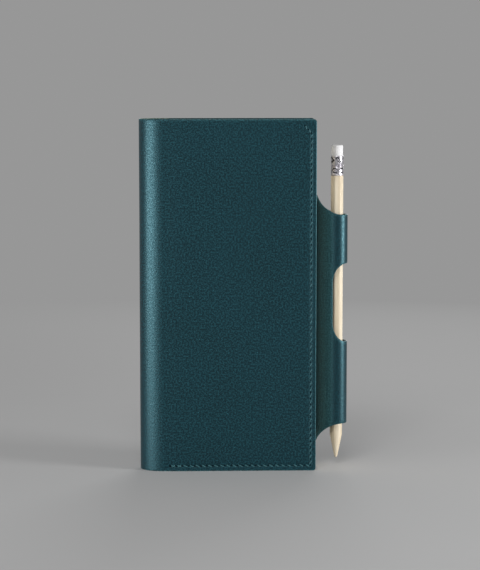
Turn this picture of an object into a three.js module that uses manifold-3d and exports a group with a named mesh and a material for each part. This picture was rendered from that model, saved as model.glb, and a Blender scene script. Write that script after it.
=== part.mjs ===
// Tall pocket notebook: a soft leather wrap cover, a paper refill that lifts out of its back pocket,
// and a pencil held in a folded leather wing at the fore edge.
//
// Millimetres, +Z up. The notebook stands on its bottom edge. X runs from the spine (-X) to the
// fore edge and pencil (+X), and Y from the front cover (-Y) to the back cover (+Y). The origin is
// the centre of the whole object's footprint, on the surface it stands on.

import * as THREE from "three";
import { mergeVertices } from "three/addons/utils/BufferGeometryUtils.js";
import Module from "manifold-3d";

const wasm = await Module();
wasm.setup();

const notebook = new THREE.Group();
const deg = THREE.MathUtils.degToRad;

// ---------------------------------------------------------------- driving dimensions

// Closed cover
const COVER_HEIGHT = 210;
const COVER_WIDTH = 105; // spine to fore edge
const COVER_DEPTH = 24; // outside of the front to outside of the back
const COVER_LEATHER = 1.4;
const CORNER_RADIUS = 1.6; // cut corners at the fore edge
const SPINE_ROUND = 14.5; // how far in from the spine the cover turns flat
const SPINE_STRIPS = 3; // lengths that the round is folded in, between the two covers
const FOLD_GAP = 0.3; // slit at each fold line

// Pockets and their seams
const POCKET_LEATHER = 1.0;
const POCKET_SETBACK = 17.5; // spine to the pocket's open side
const SEAM_INSET = 3.1; // seam to the leather's edges
const SEAM_START = 0.4; // first stitch, past the pocket's open side
const SEAM_CORNER = 4.2; // sloping last stitches at the top of the seam
const SEAM_TOP = 8; // seam's upper end, below the cover's top
const SEAM_ALLOWANCE = 6; // back pocket's sewn margin, and the skived flap of the wing under it
const GROOVE_WIDTH = 1.2;
const GROOVE_DEPTH = 0.5;
const THREAD_WIDTH = 0.7;

// Pencil
const PENCIL_FLATS = 6.8; // across the flats
const PENCIL_EDGE_ROUND = 1.5;
const PENCIL_LENGTH = 189.5;
const PENCIL_LIFT = 4.5; // point to the surface that the notebook stands on
const CONE_LENGTH = 14.2;
const TIP_RADIUS = 0.75;
const LEAD_RADIUS = 1.0;
const FERRULE_LENGTH = 12;
const FERRULE_PROUD = 0.35; // ferrule's outside past the flats
const FERRULE_WALL = 0.25;
const FERRULE_BEAD = 0.15;
const ERASER_SHOWING = 6.4;
const ERASER_ROUND = 0.7;
const TENON_LENGTH = 6.5; // end of the barrel inside the ferrule
const PENCIL_FIT = 0.1; // between the pencil's own glued pieces

// Pencil holder: a wing of the back cover, folded round the pencil
const LOOP_SPACE = 1.25; // pencil's corners to the fold
const PENCIL_REST = 0.6; // pencil's flat to the leather behind it
const WING_REACH = 19.8; // fore edge to the outside of the fold
const WING_APEX = 0.3; // fore edge to where the two layers part
const WING_LOW = 26.2; // lower edge of the lower loop
const WING_HIGH = 152.7; // upper edge of the upper loop
const WING_SWEEP = 17; // radius of the curves between wing and cover
const WINDOW_LOW = 76.1;
const WINDOW_HIGH = 123.3;
const WINDOW_REACH = 9.3; // how far the window comes in from the fold
const WINDOW_ROUND = 11.5;
const FLAP_JOIN = 0.35; // how far the sewn flap runs into the wing's root

// Refill
const SECTION_COUNT = 8; // half of them in front of the turning leaves
const LEAF_COUNT = 3;
const LEAF_PITCH = 0.3;
const PAPER_GAP = 0.05; // between pieces that are stacked or glued
const PAPER_MARGIN = 4; // cover past the paper, above and below
const PAPER_EDGE_GAP = 4.6; // cover past the paper at the fore edge
const FOLD_PLAY = 1.1; // outer sections' folds to the inside of the round
const CARD_THICK = 0.5;
const CARD_MARGIN = 0.4; // card past the paper
const CARD_SETBACK = 1.6; // front card short of the folds
const BACK_CARD_THICK = 0.4;
const BACK_CARD_REACH = 1; // back card past the flat of the cover
const CARD_SLOT = 0.7; // room between the back cover and the back pocket
const LINING_THICK = 0.6;
const LINING_SETBACK = 0.5; // lining short of the outer sections
const HINGE_STRIP_PLAY = 0.6; // hinge strip to the back pocket
const COVER_PLAY = 0.25; // refill to the pockets
const TURN_PLAY = 0.2; // lining to the line that the pages turn on

// ---------------------------------------------------------------- places worked out from them

const left = -(COVER_WIDTH + WING_REACH) / 2;
const foreEdge = left + COVER_WIDTH;
const right = foreEdge + WING_REACH;
const back = COVER_DEPTH / 2;
const front = -back;
const insideBack = back - COVER_LEATHER;
const insideFront = -insideBack;
const midBack = back - COVER_LEATHER / 2;
const flatStart = left + SPINE_ROUND;
const pocketSide = left + POCKET_SETBACK;

const pocketBackFace = insideBack - CARD_SLOT;
const backPocketFace = pocketBackFace - POCKET_LEATHER;
const frontPocketFace = insideFront + POCKET_LEATHER;

const hexagonReach = (PENCIL_FLATS / 2 - PENCIL_EDGE_ROUND) / Math.cos(Math.PI / 6);
const pencilRadius = hexagonReach + PENCIL_EDGE_ROUND; // at the rounded corners
const ferruleRadius = PENCIL_FLATS / 2 + FERRULE_PROUD;
const channelRadius = pencilRadius + LOOP_SPACE;
const channelX = right - COVER_LEATHER - channelRadius;
const channelY = insideBack - channelRadius;
const pencilX = channelX;
const pencilY = insideBack - PENCIL_REST - PENCIL_FLATS / 2;

const paperFront = frontPocketFace + COVER_PLAY + CARD_THICK;
const paperBack = backPocketFace - COVER_PLAY;
const leavesDepth = LEAF_COUNT * LEAF_PITCH;
const sectionPitch = (paperBack - paperFront - leavesDepth) / SECTION_COUNT;
const leavesFront = paperFront + (SECTION_COUNT / 2) * sectionPitch;
const leavesBack = leavesFront + leavesDepth;
const paperLow = PAPER_MARGIN;
const paperHigh = COVER_HEIGHT - PAPER_MARGIN;
const roundThere = (SPINE_ROUND - COVER_LEATHER) * Math.sqrt(1 - (paperFront / insideFront) ** 2);
const paperSpine = flatStart - roundThere + FOLD_PLAY;
const paperEdge = foreEdge - PAPER_EDGE_GAP;
const liningOuter = paperSpine - LINING_THICK - PAPER_GAP;
const turnX = liningOuter - TURN_PLAY; // the pages turn about this line, halfway through the leaves

// ---------------------------------------------------------------- materials

const material = (color, roughness, metalness = 0) =>
  new THREE.MeshStandardMaterial({ color, roughness, metalness });
const tealLeather = material(0x14424e, 0.5);
const tealThread = material(0x3f6a72, 0.8);
const paper = material(0xf1eadb, 0.9);
const kraftCard = material(0xa98a63, 0.9);
const clothTape = material(0xd9d4c8, 0.95);
const limeWood = material(0xe4cfa6, 0.6);
const paleLead = material(0xc9c6bf, 0.5);
const aluminium = material(0xd5d2da, 0.35, 0.8);
const whiteRubber = material(0xf2f2f2, 0.85);

// ---------------------------------------------------------------- shape helpers

function add(name, geometry, finish) {
  const mesh = new THREE.Mesh(geometry, finish);
  mesh.name = name;
  notebook.add(mesh);
  return mesh;
}

// A strip of even width along a line of points.
function strip(points, width) {
  const side = (sign) =>
    points.map((point, i) => {
      const before = points[Math.max(i - 1, 0)];
      const after = points[Math.min(i + 1, points.length - 1)];
      const into = i > 0 ? point.clone().sub(before) : after.clone().sub(point);
      const outOf = i < points.length - 1 ? after.clone().sub(point) : into.clone();
      const along = into.normalize().add(outOf.normalize()).normalize();
      const mitre = 1 / along.dot(outOf);
      const offset = (sign * mitre * width) / 2;
      return new THREE.Vector2(point.x - along.y * offset, point.y + along.x * offset);
    });
  return new THREE.Shape([...side(1), ...side(-1).reverse()]);
}

// A shape drawn in plan (X, Y), made upright from one height to another.
function upright(shape, low, high, curveSegments = 12) {
  const geometry = new THREE.ExtrudeGeometry(shape, {
    depth: high - low,
    bevelEnabled: false,
    curveSegments,
  });
  return geometry.translate(0, 0, low);
}

// A shape drawn in elevation (X, Z), made thick from one depth to another.
function facing(shape, nearY, farY, curveSegments = 12) {
  const geometry = new THREE.ExtrudeGeometry(shape, {
    depth: farY - nearY,
    bevelEnabled: false,
    curveSegments,
  });
  return geometry.rotateX(Math.PI / 2).translate(0, farY, 0);
}

function box(x0, x1, y0, y1, z0, z1) {
  const geometry = new THREE.BoxGeometry(x1 - x0, y1 - y0, z1 - z0);
  return geometry.translate((x0 + x1) / 2, (y0 + y1) / 2, (z0 + z1) / 2);
}

// A profile of (radius, height) points turned about the Z axis.
function turned(profile, segments = 36) {
  const points = profile.map(([radius, height]) => new THREE.Vector2(radius, height));
  return new THREE.LatheGeometry(points, segments).rotateX(Math.PI / 2);
}

function solid(geometry) {
  const bare = geometry.clone();
  bare.deleteAttribute("normal");
  bare.deleteAttribute("uv");
  const merged = mergeVertices(bare, 1e-4);
  return new wasm.Manifold(
    new wasm.Mesh({
      numProp: 3,
      vertProperties: merged.attributes.position.array,
      triVerts: new Uint32Array(merged.index.array),
    }),
  );
}

function geometryOf(manifold) {
  const mesh = manifold.getMesh();
  return new THREE.BufferGeometry()
    .setAttribute("position", new THREE.BufferAttribute(mesh.vertProperties, 3))
    .setIndex(new THREE.BufferAttribute(mesh.triVerts, 1));
}

// ---------------------------------------------------------------- leather cover

// Outline of a whole cover in elevation, with the two cut corners at the fore edge.
function coverOutline() {
  const r = CORNER_RADIUS;
  const outline = new THREE.Shape();
  outline.moveTo(left - 1, 0);
  outline.lineTo(foreEdge - r, 0);
  outline.absarc(foreEdge - r, r, r, -Math.PI / 2, 0);
  outline.lineTo(foreEdge, COVER_HEIGHT - r);
  outline.absarc(foreEdge - r, COVER_HEIGHT - r, r, 0, Math.PI / 2);
  outline.lineTo(left - 1, COVER_HEIGHT);
  return outline;
}

// Line of stitches in elevation: from the pocket's open side along the bottom, up the fore edge,
// and off at a slope.
function seamLine() {
  const x = foreEdge - SEAM_INSET;
  const z = SEAM_INSET;
  const top = COVER_HEIGHT - SEAM_TOP;
  return [
    new THREE.Vector2(pocketSide + SEAM_START, z),
    new THREE.Vector2(x, z),
    new THREE.Vector2(x, top),
    new THREE.Vector2(x - SEAM_CORNER, top + SEAM_CORNER),
  ];
}

// A stretch of the spine's round, on the leather's middle line. The turn is 0 at the front cover
// and 180 degrees at the back cover.
function spineRound(path, fromTurn, toTurn) {
  const start = -Math.PI / 2 - fromTurn;
  const end = -Math.PI / 2 - toTurn;
  path.absellipse(flatStart, 0, SPINE_ROUND - COVER_LEATHER / 2, midBack, start, end, true);
  return path;
}

// The fold lines share the half turn evenly, with half a share left at each cover.
function foldTurn(index) {
  return ((index + 0.5) * Math.PI) / (SPINE_STRIPS + 1);
}

const halfSlit = FOLD_GAP / (SPINE_ROUND + midBack); // half a slit, as a turn at the mean radius

// One cover: a flat sheet with a rounded lip towards the spine, and a groove for its seam.
// The side is -1 for the front and 1 for the back.
function cover(side) {
  const path = new THREE.Path();
  if (side < 0) {
    path.moveTo(foreEdge, -midBack);
    path.lineTo(flatStart, -midBack);
    spineRound(path, 0, foldTurn(0) - halfSlit);
  } else {
    spineRound(path, foldTurn(SPINE_STRIPS) + halfSlit, Math.PI);
    path.lineTo(foreEdge, midBack);
  }
  const sheet = solid(upright(strip(path.getPoints(8), COVER_LEATHER), 0, COVER_HEIGHT));
  const cutter = solid(facing(coverOutline(), front - 1, back + 1, 6));
  const face = side < 0 ? [front - 1, front + GROOVE_DEPTH] : [back - GROOVE_DEPTH, back + 1];
  const groove = solid(facing(strip(seamLine(), GROOVE_WIDTH), ...face));
  return geometryOf(sheet.intersect(cutter).subtract(groove));
}

// The thread lies on the floor of its groove, flush with the leather.
function seamThread(side) {
  const face = side < 0 ? [front, front + GROOVE_DEPTH] : [back - GROOVE_DEPTH, back];
  return facing(strip(seamLine(), THREAD_WIDTH), ...face);
}

// The spine's leather between two fold lines.
function spineStrip(index) {
  const path = new THREE.Path();
  spineRound(path, foldTurn(index) + halfSlit, foldTurn(index + 1) - halfSlit);
  return upright(strip(path.getPoints(4), COVER_LEATHER), 0, COVER_HEIGHT);
}

add("front_cover", cover(-1), tealLeather);
for (let i = 0; i < SPINE_STRIPS; i++) {
  add(`spine_strip_${i + 1}`, spineStrip(i), tealLeather);
}
add("back_cover", cover(1), tealLeather);
add("front_seam_thread", seamThread(-1), tealThread);
add("back_seam_thread", seamThread(1), tealThread);

// ---------------------------------------------------------------- pockets

const wingRootLow = WING_LOW - WING_SWEEP;
const wingRootHigh = WING_HIGH + WING_SWEEP;

// The front pocket lies flat on the front cover, sewn along the bottom and the fore edge.
function frontPocket() {
  const sheet = solid(box(pocketSide, foreEdge, insideFront, frontPocketFace, 0, COVER_HEIGHT));
  return geometryOf(sheet.intersect(solid(facing(coverOutline(), front - 1, back + 1, 6))));
}

// The back pocket stands off the back cover by the card's slot. Its sewn edges are built up to
// the cover, apart from where the pencil holder's flap lies between the two.
function backPocket() {
  const rim = SEAM_ALLOWANCE;
  const rimTo = insideBack;
  const sheet = solid(box(pocketSide, foreEdge, backPocketFace, pocketBackFace, 0, COVER_HEIGHT));
  const bottomRim = solid(box(pocketSide, foreEdge, backPocketFace, rimTo, 0, rim));
  const edgeRim = solid(box(foreEdge - rim, foreEdge, backPocketFace, rimTo, 0, COVER_HEIGHT));
  const flapRoom = solid(
    box(
      foreEdge - rim - FOLD_GAP,
      foreEdge + 1,
      pocketBackFace,
      rimTo + 1,
      wingRootLow - FOLD_GAP,
      wingRootHigh + FOLD_GAP,
    ),
  );
  const outline = solid(facing(coverOutline(), front - 1, back + 1, 6));
  return geometryOf(sheet.add(bottomRim).add(edgeRim).subtract(flapRoom).intersect(outline));
}

add("front_pocket", frontPocket(), tealLeather);
add("back_pocket", backPocket(), tealLeather);

// ---------------------------------------------------------------- pencil holder

// Half-way round the pencil channel: a teardrop that opens from its apex at the fore edge.
const apexX = foreEdge + WING_APEX;
const wingSlope = 2 * Math.atan(channelRadius / (channelX - apexX));

// The teardrop in plan, at a distance outside the channel's own wall.
function teardrop(wall) {
  const radius = channelRadius + wall;
  const tangent = -Math.PI / 2 - wingSlope;
  const shape = new THREE.Shape();
  shape.moveTo(channelX + radius * Math.cos(tangent), channelY + radius * Math.sin(tangent));
  shape.absarc(channelX, channelY, radius, tangent, Math.PI / 2);
  if (wall > 0) {
    const edgeX = apexX - wall * Math.sin(wingSlope);
    const edgeY = insideBack - wall * Math.cos(wingSlope);
    shape.lineTo(foreEdge, back);
    shape.lineTo(foreEdge, edgeY + (edgeX - foreEdge) * Math.tan(wingSlope));
  } else {
    shape.lineTo(apexX, insideBack);
  }
  return shape;
}

function wingOutline() {
  const sweepX = foreEdge + WING_SWEEP;
  const outline = new THREE.Shape();
  outline.moveTo(foreEdge, wingRootLow);
  outline.absarc(sweepX, wingRootLow, WING_SWEEP, Math.PI, Math.PI / 2, true);
  outline.lineTo(right + 1, WING_LOW);
  outline.lineTo(right + 1, WING_HIGH);
  outline.lineTo(sweepX, WING_HIGH);
  outline.absarc(sweepX, wingRootHigh, WING_SWEEP, -Math.PI / 2, -Math.PI, true);
  return outline;
}

// The window is cut through the fold, so that it leaves an upper and a lower loop.
function windowOutline() {
  const low = WINDOW_LOW + WINDOW_ROUND;
  const high = WINDOW_HIGH - WINDOW_ROUND;
  const outline = new THREE.Shape();
  outline.moveTo(right + 1, WINDOW_HIGH);
  outline.lineTo(right, WINDOW_HIGH);
  outline.absellipse(right, high, WINDOW_REACH, WINDOW_ROUND, Math.PI / 2, Math.PI);
  outline.absellipse(right, low, WINDOW_REACH, WINDOW_ROUND, Math.PI, 1.5 * Math.PI);
  outline.lineTo(right + 1, WINDOW_LOW);
  return outline;
}

function pencilHolder() {
  const wall = solid(upright(teardrop(COVER_LEATHER), 0, COVER_HEIGHT, 14));
  const channel = solid(upright(teardrop(0), -1, COVER_HEIGHT + 1, 14));
  const outline = solid(facing(wingOutline(), front, back + 1, 10));
  const window = solid(facing(windowOutline(), front, back + 1, 8));
  const flap = solid(
    box(
      foreEdge - SEAM_ALLOWANCE,
      foreEdge + FLAP_JOIN,
      pocketBackFace,
      insideBack,
      wingRootLow,
      wingRootHigh,
    ),
  );
  return geometryOf(wall.subtract(channel).intersect(outline).subtract(window).add(flap));
}

add("pencil_holder", pencilHolder(), tealLeather);

// ---------------------------------------------------------------- refill

// One section of folded sheets, with its fold towards the spine.
function section(nearY) {
  const thick = sectionPitch - PAPER_GAP;
  const radius = thick / 2;
  const shape = new THREE.Shape();
  shape.moveTo(paperEdge, nearY);
  shape.lineTo(paperEdge, nearY + thick);
  shape.lineTo(paperSpine + radius, nearY + thick);
  shape.absarc(paperSpine + radius, nearY + radius, radius, Math.PI / 2, 1.5 * Math.PI);
  return upright(shape, paperLow, paperHigh, 6);
}

for (let i = 0; i < SECTION_COUNT; i++) {
  const passed = i < SECTION_COUNT / 2 ? 0 : leavesDepth;
  add(`paper_section_${i + 1}`, section(paperFront + i * sectionPitch + passed), paper);
}

// Single leaves between the two halves, where the notebook opens.
for (let i = 0; i < LEAF_COUNT; i++) {
  const nearY = leavesFront + i * LEAF_PITCH;
  const leaf = box(
    turnX + leavesDepth + TURN_PLAY,
    paperEdge,
    nearY,
    nearY + LEAF_PITCH - PAPER_GAP,
    paperLow,
    paperHigh,
  );
  add(`turning_leaf_${i + 1}`, leaf, paper);
}

// Card covers. The front card shows when the cover opens, and the back card holds the refill in
// the back pocket, joined to the last section by a cloth strip.
const cardLow = paperLow - CARD_MARGIN;
const cardHigh = paperHigh + CARD_MARGIN;
const backCardLow = SEAM_ALLOWANCE + CARD_MARGIN;
const backCardSpine = flatStart - BACK_CARD_REACH;
const backCardNear = pocketBackFace + (CARD_SLOT - BACK_CARD_THICK) / 2;
const frontCardNear = paperFront - CARD_THICK;
add(
  "refill_front_card",
  box(
    paperSpine + CARD_SETBACK,
    paperEdge + CARD_MARGIN,
    frontCardNear,
    paperFront - PAPER_GAP,
    cardLow,
    cardHigh,
  ),
  kraftCard,
);
add(
  "refill_back_card",
  box(
    backCardSpine,
    foreEdge - SEAM_ALLOWANCE - 2 * CARD_MARGIN,
    backCardNear,
    backCardNear + BACK_CARD_THICK,
    backCardLow,
    cardHigh,
  ),
  kraftCard,
);
add(
  "refill_hinge_strip",
  box(
    backCardSpine,
    pocketSide - HINGE_STRIP_PLAY,
    paperBack,
    backCardNear,
    backCardLow,
    paperHigh,
  ),
  clothTape,
);

// Cloth lining glued over the folds, one length on each half.
function lining(nearY, farY) {
  const inner = liningOuter + LINING_THICK;
  const low = paperLow + LINING_SETBACK;
  const high = paperHigh - LINING_SETBACK;
  return box(liningOuter, inner, nearY, farY, low, high);
}
add(
  "spine_lining_front",
  lining(paperFront + LINING_SETBACK, leavesFront - PAPER_GAP),
  clothTape,
);
add("spine_lining_back", lining(leavesBack, paperBack - LINING_SETBACK), clothTape);

// ---------------------------------------------------------------- pencil

const coneSlope = (pencilRadius - TIP_RADIUS) / CONE_LENGTH;
const barrelTop = PENCIL_LENGTH - ERASER_SHOWING - FERRULE_LENGTH + TENON_LENGTH;
const ferruleLow = PENCIL_LENGTH - ERASER_SHOWING - FERRULE_LENGTH;
const socketRadius = ferruleRadius - FERRULE_WALL;

// Six flats with rounded corners, one flat towards the front.
function hexagon() {
  const shape = new THREE.Shape();
  for (let i = 0; i < 6; i++) {
    const turn = (i * Math.PI) / 3;
    const x = hexagonReach * Math.cos(turn);
    const y = hexagonReach * Math.sin(turn);
    shape.absarc(x, y, PENCIL_EDGE_ROUND, turn - Math.PI / 6, turn + Math.PI / 6);
  }
  return shape;
}

function barrel() {
  const tenon = socketRadius - PENCIL_FIT;
  const wide = 2 * pencilRadius;
  const bore = LEAD_RADIUS + PENCIL_FIT;
  const envelope = [
    [0, 0],
    [TIP_RADIUS, 0],
    [wide, (wide - TIP_RADIUS) / coneSlope],
    [wide, ferruleLow],
    [tenon, ferruleLow],
    [tenon, barrelTop],
    [0, barrelTop],
  ];
  const hole = [
    [0, -1],
    [bore, -1],
    [bore, barrelTop + 1],
    [0, barrelTop + 1],
  ];
  const stock = solid(upright(hexagon(), 0, barrelTop, 4));
  return geometryOf(stock.intersect(solid(turned(envelope))).subtract(solid(turned(hole))));
}

// The lead runs the whole length of the barrel, and its point is sharpened with the wood.
function lead() {
  const shoulder = (LEAD_RADIUS - TIP_RADIUS) / coneSlope;
  return turned([
    [0, 0],
    [TIP_RADIUS, 0],
    [LEAD_RADIUS, shoulder],
    [LEAD_RADIUS, barrelTop],
    [0, barrelTop],
  ]);
}

// A thin tube crimped on the barrel and the eraser, with two beads rolled round it.
function ferrule() {
  const r = ferruleRadius;
  const top = ferruleLow + FERRULE_LENGTH;
  const bead = (middle) => [
    [r, middle - 4 * FERRULE_BEAD],
    [r + FERRULE_BEAD, middle - 2 * FERRULE_BEAD],
    [r + FERRULE_BEAD, middle + 2 * FERRULE_BEAD],
    [r, middle + 4 * FERRULE_BEAD],
  ];
  return turned([
    [socketRadius, ferruleLow + PENCIL_FIT],
    [r, ferruleLow + PENCIL_FIT],
    ...bead(ferruleLow + FERRULE_LENGTH / 4),
    ...bead(top - FERRULE_LENGTH / 4),
    [r, top],
    [socketRadius, top],
    [socketRadius, ferruleLow + PENCIL_FIT],
  ]);
}

function eraser() {
  const r = socketRadius - PENCIL_FIT;
  const top = PENCIL_LENGTH;
  const rounded = [0, 30, 60, 90].map((turn) => [
    r - ERASER_ROUND * (1 - Math.cos(deg(turn))),
    top - ERASER_ROUND * (1 - Math.sin(deg(turn))),
  ]);
  return turned([
    [0, barrelTop + PENCIL_FIT],
    [r, barrelTop + PENCIL_FIT],
    ...rounded,
    [0, top],
  ]);
}

const pencil = [
  add("pencil_barrel", barrel(), limeWood),
  add("pencil_lead", lead(), paleLead),
  add("ferrule", ferrule(), aluminium),
  add("eraser", eraser(), whiteRubber),
];
for (const piece of pencil) {
  piece.position.set(pencilX, pencilY, PENCIL_LIFT);
}

export default notebook;
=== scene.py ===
"""Tall pocket notebook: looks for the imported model.

A soft teal leather cover wraps a paper refill, and a wing of the back cover folds round a pencil.
The sections follow the order in which the notebook is put together. Sizes are in millimetres
times MM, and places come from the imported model's boxes.
"""

import math
import random

import bpy
import numpy as np
from mathutils import Matrix, Vector, noise


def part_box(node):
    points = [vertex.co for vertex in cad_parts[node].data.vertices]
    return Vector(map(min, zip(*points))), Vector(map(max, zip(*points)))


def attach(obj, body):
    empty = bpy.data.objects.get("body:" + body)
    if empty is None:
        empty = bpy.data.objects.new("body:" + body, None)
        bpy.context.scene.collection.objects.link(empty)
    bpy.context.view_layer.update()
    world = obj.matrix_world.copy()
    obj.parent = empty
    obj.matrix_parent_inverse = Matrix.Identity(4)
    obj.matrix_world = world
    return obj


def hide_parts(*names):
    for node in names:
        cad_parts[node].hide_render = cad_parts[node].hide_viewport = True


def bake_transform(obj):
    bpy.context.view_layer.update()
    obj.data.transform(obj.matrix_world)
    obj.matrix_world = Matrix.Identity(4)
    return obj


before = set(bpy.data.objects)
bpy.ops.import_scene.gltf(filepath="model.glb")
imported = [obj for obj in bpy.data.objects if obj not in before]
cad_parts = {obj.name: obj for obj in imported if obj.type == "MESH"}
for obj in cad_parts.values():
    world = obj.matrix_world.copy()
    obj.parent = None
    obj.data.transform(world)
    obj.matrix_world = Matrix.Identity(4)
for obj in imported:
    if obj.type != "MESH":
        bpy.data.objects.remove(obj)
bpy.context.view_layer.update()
MM = 0.001
chance = random.Random(7)

# ---------------------------------------------------------------- leather finishes
# The cover, pockets and pencil wing are cut from one waxed, full-grain teal hide. Its face is
# finely pored and cloudy, and pales where it is rubbed; where the wing's front layer is bowed it
# carries a painted highlight. Its underside is matt, and its cut edges are pale and burnished.


def put(tree, kind, settings=None, **inputs):
    """A shader node with its settings and inputs. An input named at2 is the third one."""
    made = tree.nodes.new(kind)
    for key, value in (settings or {}).items():
        setattr(made, key, value)
    for key, value in inputs.items():
        number = key[2:]
        where = int(number) if key.startswith("at") and number.isdigit() else key.replace("_", " ")
        socket = made.inputs[where]
        if isinstance(value, bpy.types.NodeSocket):
            tree.links.new(value, socket)
        else:
            socket.default_value = value
    return made


def maths(tree, operation, first, second=0.0, third=0.0):
    """The result of one operation on values or sockets."""
    return put(tree, "ShaderNodeMath", {"operation": operation},
               at0=first, at1=second, at2=third).outputs[0]


def tint(tree, mask, low, high):
    """The low colour where the mask is 0, and the high colour where it is 1."""
    mixed = put(tree, "ShaderNodeMix", {"data_type": "RGBA"}, at0=mask, at6=low, at7=high)
    return mixed.outputs[2]


def spread(tree, value, low, high, to_low=0.0, to_high=1.0):
    """A value stretched from one range to another."""
    ranges = {"From_Min": low, "From_Max": high, "To_Min": to_low, "To_Max": to_high}
    return put(tree, "ShaderNodeMapRange", Value=value, **ranges).outputs[0]


def finish_group(name, inputs, outputs):
    """A node group whose outputs are plain values, with its two end nodes."""
    tree = bpy.data.node_groups.new(name, "ShaderNodeTree")
    for label, kind in inputs:
        tree.interface.new_socket(name=label, in_out="INPUT", socket_type="NodeSocket" + kind)
    for label in outputs:
        tree.interface.new_socket(name=label, in_out="OUTPUT", socket_type="NodeSocketFloat")
    return tree, tree.nodes.new("NodeGroupInput"), tree.nodes.new("NodeGroupOutput")


def finish(name, roughness, gloss=0.5, **sockets):
    """A new material, and the parts of it that a finish is wired to."""
    made = bpy.data.materials.new(name)
    made.use_nodes = True
    tree = made.node_tree
    shader = tree.nodes["Principled BSDF"]
    shader.inputs["Roughness"].default_value = roughness
    shader.inputs["Specular IOR Level"].default_value = gloss
    for key, value in sockets.items():
        shader.inputs[key.replace("_", " ")].default_value = value
    return made, tree, shader


def wire(tree, shader, **links):
    """Feed each value into the shader's socket of that name."""
    for key, socket in links.items():
        tree.links.new(socket, shader.inputs[key.replace("_", " ")])


def raised(tree, shader, height, depth, strength=1.0):
    """Relief of that real depth."""
    bump = put(tree, "ShaderNodeBump", Height=height, Distance=depth, Strength=strength)
    tree.links.new(bump.outputs[0], shader.inputs["Normal"])


def by_place(tree):
    """A point's place on the piece, in metres."""
    return put(tree, "ShaderNodeTexCoord").outputs["Object"]


def by_cut(tree):
    """A point's place on the sheet as it was cut, before it was bent."""
    return put(tree, "ShaderNodeUVMap", {"uv_map": "cut"}).outputs[0]


def speckle(tree, place, scale, detail=2.0):
    """Soft random spots, that many to the metre."""
    return put(tree, "ShaderNodeTexNoise", Vector=place, Scale=scale, Detail=detail).outputs[0]


def placed(tree, group, **inputs):
    """The outputs of a node group that is placed in a material with its own values."""
    node = put(tree, "ShaderNodeGroup", {"node_tree": group}, **inputs)
    return node.outputs


hide_grain, takes, gives = finish_group(
    "hide_grain", [("Place", "Vector"), ("Pores per metre", "Float")], ["Height", "Speck", "Cloud"]
)
place, pores = takes.outputs["Place"], takes.outputs["Pores per metre"]
cells = put(hide_grain, "ShaderNodeTexVoronoi", {"feature": "SMOOTH_F1"}, Vector=place,
            Scale=pores, Smoothness=0.6)
creases = speckle(hide_grain, place, maths(hide_grain, "MULTIPLY", pores, 0.55), 3.0)
specks = speckle(hide_grain, place, maths(hide_grain, "MULTIPLY", pores, 0.8))
clouds = speckle(hide_grain, place, 28.0, 4.0)
pebble = maths(hide_grain, "ADD", cells.outputs["Distance"],
               maths(hide_grain, "MULTIPLY", creases, 0.9))
hide_grain.links.new(pebble, gives.inputs["Height"])
hide_grain.links.new(spread(hide_grain, specks, 0.42, 0.64), gives.inputs["Speck"])
hide_grain.links.new(spread(hide_grain, clouds, 0.3, 0.7), gives.inputs["Cloud"])

DEEP_TEAL = (0.0002, 0.0040, 0.0065, 1)
MID_TEAL = (0.0006, 0.0080, 0.0125, 1)
PALE_TEAL = (0.004, 0.042, 0.056, 1)
# The paler teal of rubbed edges, also used for a painted highlight.
WEAR_AND_HIGHLIGHT_TEAL = (0.060, 0.180, 0.200, 1)
EDGE_TEAL = (0.240, 0.420, 0.350, 1)
NAP_TEAL = (0.0010, 0.009, 0.013, 1)
GLOSS_TINT = (0.39, 0.86, 1.0, 1)  # the dye tints what the wax reflects
FACE_PORES, NAP_PORES = 1250.0, 2600.0  # to the metre
GRAIN_DEPTH = 0.06 * MM
NAP_DEPTH = 0.1 * MM
FIBRE_DEPTH = 0.15 * MM

grain_side, tree, shader = finish("teal_leather_face", 0.42, 0.7, Specular_Tint=GLOSS_TINT)
# Paler where edges are rubbed, and a painted highlight where the wing's front layer is bowed.
wear_and_highlight = put(tree, "ShaderNodeAttribute", {"attribute_name": "wear_and_highlight"}).outputs["Fac"]
grain = placed(tree, hide_grain, Place=by_cut(tree), Pores_per_metre=FACE_PORES)
cloudy = tint(tree, grain["Cloud"], DEEP_TEAL, MID_TEAL)
speckled = tint(tree, maths(tree, "MULTIPLY", grain["Speck"], 0.65), cloudy, PALE_TEAL)
paled = maths(tree, "MULTIPLY", wear_and_highlight, spread(tree, grain["Speck"], 0.0, 1.0, 0.3, 0.7))
wire(tree, shader, Base_Color=tint(tree, paled, speckled, WEAR_AND_HIGHLIGHT_TEAL),
     Roughness=spread(tree, grain["Speck"], 0.0, 1.0, 0.36, 0.52))
raised(tree, shader, grain["Height"], GRAIN_DEPTH, 0.8)

nap_side, tree, shader = finish("teal_leather_underside", 0.9, 0.05)
grain = placed(tree, hide_grain, Place=by_cut(tree), Pores_per_metre=NAP_PORES)
wire(tree, shader, Base_Color=tint(tree, grain["Speck"], NAP_TEAL, MID_TEAL))
raised(tree, shader, grain["Height"], NAP_DEPTH, 0.6)

cut_edge, tree, shader = finish("teal_leather_cut_edge", 0.4, 0.6)
fibres = speckle(tree, by_place(tree), 1500.0, 4.0)
wire(tree, shader, Base_Color=tint(tree, spread(tree, fibres, 0.35, 0.65), MID_TEAL, EDGE_TEAL))
raised(tree, shader, fibres, FIBRE_DEPTH, 0.6)
LEATHER = (grain_side, nap_side, cut_edge)

# ---------------------------------------------------------------- wrap cover
# One sheet of 1.4 mm leather runs from the front fore edge round the spine to the back fore edge.
# It is modelled as it lies round the spine, in four lengths that meet halfway between fold lines,
# so that each length takes in one fold. Its edges are rubbed round, and the seam pulls it in.

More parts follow.
